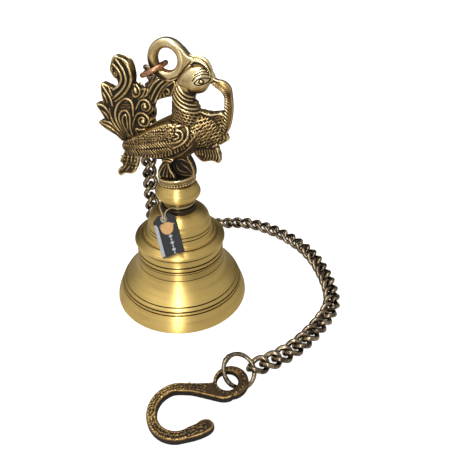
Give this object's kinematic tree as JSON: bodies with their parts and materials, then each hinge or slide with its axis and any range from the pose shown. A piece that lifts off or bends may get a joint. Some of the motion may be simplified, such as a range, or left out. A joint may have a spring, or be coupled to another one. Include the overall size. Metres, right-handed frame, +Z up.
{
  "type": "temple bell",
  "caption": "Temple bell with a flared turned body and inner clapper, topped by a cast peacock with a crest loop, hung by a curb chain from a ceiling hook.",
  "frame": {"origin": "centre of the bell's mouth, on the surface that the lip stands on", "axes": "+Z up along the bell's axis, +X the way the bird faces, +Y to the bird's left"},
  "size_m": [0.1725, 0.229, 0.1859],
  "materials": {
    "bell_brass": "satin turned brass",
    "inner_brass": "dull brass",
    "neck_dark": "darkened brass",
    "cast_brass": "antique cast brass, worn bright on the ridges",
    "cast_dark": "dark patina in a coarse casting",
    "head_brass": "hand-polished cast brass",
    "copper_wire": "copper-coloured wire with a brazed seam",
    "chain_bronze": "dark antique bronze wire",
    "hook_bronze": "brown cast bronze with a dotted face",
    "card": "matte coated card",
    "eyelet": "pressed brass",
    "twine": "twisted twine"
  },
  "bodies": {
    "bell": {"bell_body": "bell_brass", "crown_washer": "inner_brass", "crown_nut": "inner_brass", "crown_stud": "inner_brass", "clapper_eye": "inner_brass", "neck_washer": "neck_dark", "pedestal": "bell_brass", "base_plate": "cast_brass", "plate_beads": "cast_dark", "perch": "cast_dark", "leg_left": "cast_dark", "leg_right": "cast_dark", "bird_body": "cast_brass", "wing_left": "cast_brass", "wing_right": "cast_brass", "bird_neck": "cast_brass", "bird_head": "head_brass", "crest_loop": "head_brass", "crest_ridge": "cast_brass", "beak_garland": "cast_brass", "garland_leaf": "cast_brass", "breast_foliage": "cast_dark", "breast_tuft": "cast_dark", "tail_plume": "cast_brass", "tail_scrolls": "cast_brass", "rear_tuft": "cast_dark", "nape_foliage": "cast_brass", "chain_drop": "chain_bronze", "chain_run": "chain_bronze", "tag_string": "twine"},
    "clapper_link": {"clapper_link": "inner_brass"},
    "clapper": {"clapper_rod": "inner_brass", "clapper_ball": "inner_brass"},
    "crown_ring": {"crown_ring": "copper_wire"},
    "hook_ring": {"hook_ring": "chain_bronze"},
    "hook": {"hook": "hook_bronze"},
    "tag": {"tag": "card", "tag_eyelet": "eyelet"}
  },
  "joints": [
    {"name": "clapper_link_swing", "type": "hinge", "parent": "bell", "child": "clapper_link", "pos_m": [0, 0, 0.0552], "axis": [1, 0, 0], "range_deg": [-24, 24]},
    {"name": "clapper_swing", "type": "hinge", "parent": "clapper_link", "child": "clapper", "pos_m": [0, 0, 0.0475], "axis": [0, 1, 0], "range_deg": [-24, 24]},
    {"name": "crown_ring_turn", "type": "hinge", "parent": "bell", "child": "crown_ring", "pos_m": [-0.0117, 0.0015, 0.1674], "axis": [-0.5736, 0, 0.8192], "continuous": true},
    {"name": "hook_ring_turn", "type": "hinge", "parent": "bell", "child": "hook_ring", "pos_m": [0.061, -0.073, 0.0066], "axis": [0.4306, -0.2959, 0.8526], "continuous": true},
    {"name": "hook_swing", "type": "hinge", "parent": "bell", "child": "hook", "pos_m": [0.056, -0.0826, 0.0034], "axis": [0, 0, 1], "range_deg": [-15, 15]},
    {"name": "tag_lift", "type": "hinge", "parent": "bell", "child": "tag", "pos_m": [-0.00436, -0.01769, 0.0746], "axis": [-0.9962, 0.0872, 0], "range_deg": [0, 40]}
  ]
}
